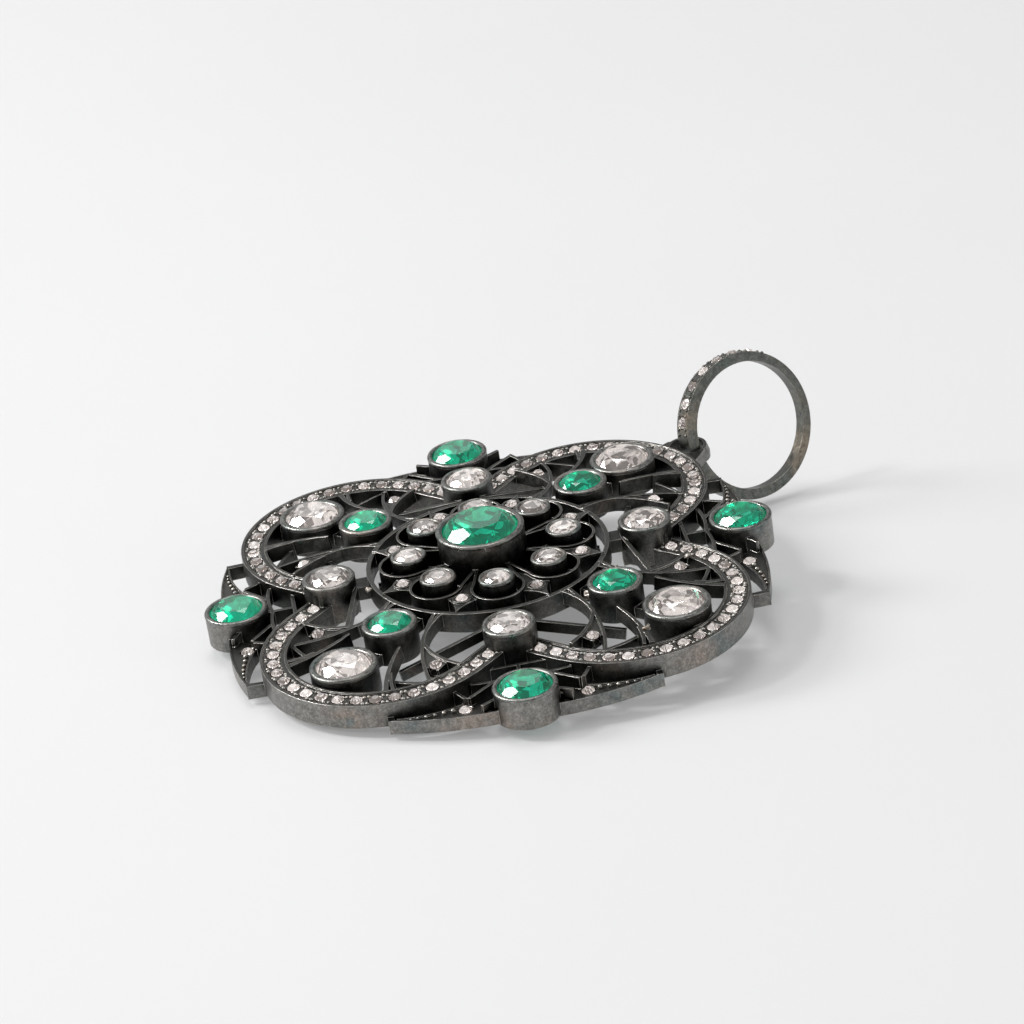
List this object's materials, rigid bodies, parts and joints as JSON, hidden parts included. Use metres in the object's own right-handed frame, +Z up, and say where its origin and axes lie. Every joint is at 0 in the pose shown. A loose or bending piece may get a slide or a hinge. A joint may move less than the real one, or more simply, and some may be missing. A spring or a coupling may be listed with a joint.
{
  "type": "pendant",
  "caption": "Openwork lobed pendant of blackened metal set with round emeralds and diamonds, with a ring bail linked through its eyelet, lying propped on the bail.",
  "frame": {"origin": "middle of the footprint of the pendant as it lies, on the surface that it lies on", "axes": "+Z up from the surface, +Y along the pendant towards its bail, +X to the right of that, seen from above; the stones face up"},
  "size_m": [0.0452, 0.0586, 0.0122],
  "materials": {
    "blackened_metal": "oxidised silver, satin, worn lighter along its edges",
    "emerald": "polished, faceted",
    "diamond": "polished, faceted"
  },
  "bodies": {
    "root": {"openwork_frame": "blackened_metal", "bail_ring": "blackened_metal", "centre_emerald": "emerald", "outer_emerald_1": "emerald", "outer_emerald_2": "emerald", "outer_emerald_3": "emerald", "outer_emerald_4": "emerald", "inner_emerald_1": "emerald", "inner_emerald_2": "emerald", "inner_emerald_3": "emerald", "inner_emerald_4": "emerald", "large_diamond_1": "diamond", "large_diamond_2": "diamond", "large_diamond_3": "diamond", "large_diamond_4": "diamond", "medium_diamond_1": "diamond", "medium_diamond_2": "diamond", "medium_diamond_3": "diamond", "medium_diamond_4": "diamond", "rosette_diamond_1": "diamond", "rosette_diamond_2": "diamond", "rosette_diamond_3": "diamond", "rosette_diamond_4": "diamond", "rosette_diamond_5": "diamond", "rosette_diamond_6": "diamond", "rosette_diamond_7": "diamond", "rosette_diamond_8": "diamond", "accent_diamonds": "diamond", "tracery_diamonds": "diamond", "wing_diamonds": "diamond", "bail_diamonds": "diamond", "band_diamonds_1": "diamond", "band_diamonds_2": "diamond", "band_diamonds_3": "diamond", "band_diamonds_4": "diamond"}
  },
  "joints": []
}
